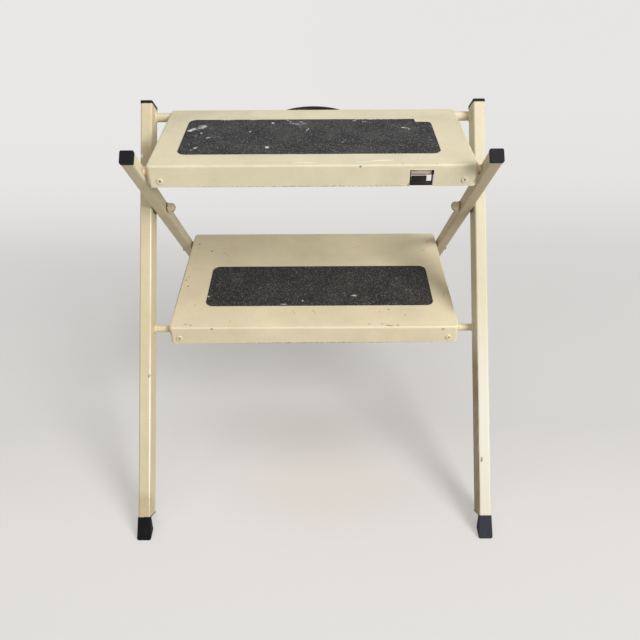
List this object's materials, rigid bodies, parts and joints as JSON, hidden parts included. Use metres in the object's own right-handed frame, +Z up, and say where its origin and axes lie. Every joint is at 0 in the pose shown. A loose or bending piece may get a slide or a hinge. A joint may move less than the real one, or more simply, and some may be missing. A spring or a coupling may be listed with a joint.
{
  "type": "folding step stool",
  "caption": "Folding step stool with crossing tube legs, two sheet-metal steps with grip pads, a latch, a carrying bow and rubber feet.",
  "frame": {"origin": "centre of the footprint on the floor, with the stool standing open", "axes": "+X to the right as seen from the front, +Y to the back, +Z up"},
  "size_m": [0.4792, 0.6102, 0.4631],
  "materials": {
    "cream_paint": "aged satin cream enamel, chipped at the edges",
    "worn_paint": "thin cream paint worn and rust stained",
    "black_plastic": "black moulded plastic, slightly scuffed",
    "black_rubber": "black rubber, dusty at the sole",
    "grit_pad": "black gritty non-slip sheet with fine speckle",
    "plated_steel": "dull zinc plate",
    "rivet_metal": "painted aluminium, dark in the centre hole"
  },
  "bodies": {
    "long_frame": {"long_leg_right": "cream_paint", "long_leg_left": "cream_paint", "long_leg_cap_right": "black_plastic", "long_leg_cap_left": "black_plastic", "front_foot_right": "black_rubber", "front_foot_left": "black_rubber", "rear_crossbar": "cream_paint", "step_pin_right": "worn_paint", "step_pin_left": "worn_paint", "cross_pivot_pins": "cream_paint", "pivot_knobs": "cream_paint", "pivot_washers": "plated_steel"},
    "rear_frame": {"rear_leg_right": "cream_paint", "rear_leg_left": "cream_paint", "rear_leg_cap_right": "black_plastic", "rear_leg_cap_left": "black_plastic", "rear_foot_right": "black_rubber", "rear_foot_left": "black_rubber", "front_cross_rod": "worn_paint", "lower_pivot_rod": "worn_paint", "pivot_rod_caps": "plated_steel"},
    "top_step": {"top_grip_pad": "grit_pad", "top_step_rivets": "rivet_metal", "carry_handle": "black_plastic", "handle_screws": "plated_steel", "handle_nuts": "plated_steel", "top_step_tray": "cream_paint", "top_step_angles": "cream_paint", "latch_pin": "plated_steel", "latch_bracket": "plated_steel", "latch_spring": "plated_steel"},
    "latch": {"latch": "black_plastic"},
    "lower_step": {"lower_step_tray": "cream_paint", "lower_grip_pad": "grit_pad", "lower_step_rivets": "rivet_metal", "lower_step_angles": "cream_paint", "lower_step_bracket_right": "cream_paint", "lower_step_bracket_left": "cream_paint"}
  },
  "joints": [
    {"name": "fold", "type": "hinge", "parent": "long_frame", "child": "rear_frame", "pos_m": [0, 0.00464, 0.334], "axis": [-1, 0, 0], "range_deg": [0, 70]},
    {"name": "top_step_lift", "type": "hinge", "parent": "long_frame", "child": "top_step", "pos_m": [0, 0.0952, 0.4272], "axis": [-1, 0, 0], "range_deg": [0, 123.8]},
    {"name": "lower_step_lift", "type": "hinge", "parent": "rear_frame", "child": "lower_step", "pos_m": [0, 0.12808, 0.192], "axis": [-1, 0, 0], "range_deg": [0, 38.3]},
    {"name": "latch_pull", "type": "hinge", "parent": "top_step", "child": "latch", "pos_m": [0, -0.07452, 0.4306], "axis": [-1, 0, 0], "range_deg": [0, 18], "stiffness_Nm_per_rad": 0.05, "springref_deg": -11.46}
  ],
  "couplings": [
    {"joint": "top_step_lift", "follows": "fold", "ratio": 1.768},
    {"joint": "lower_step_lift", "follows": "fold", "ratio": 0.547}
  ]
}
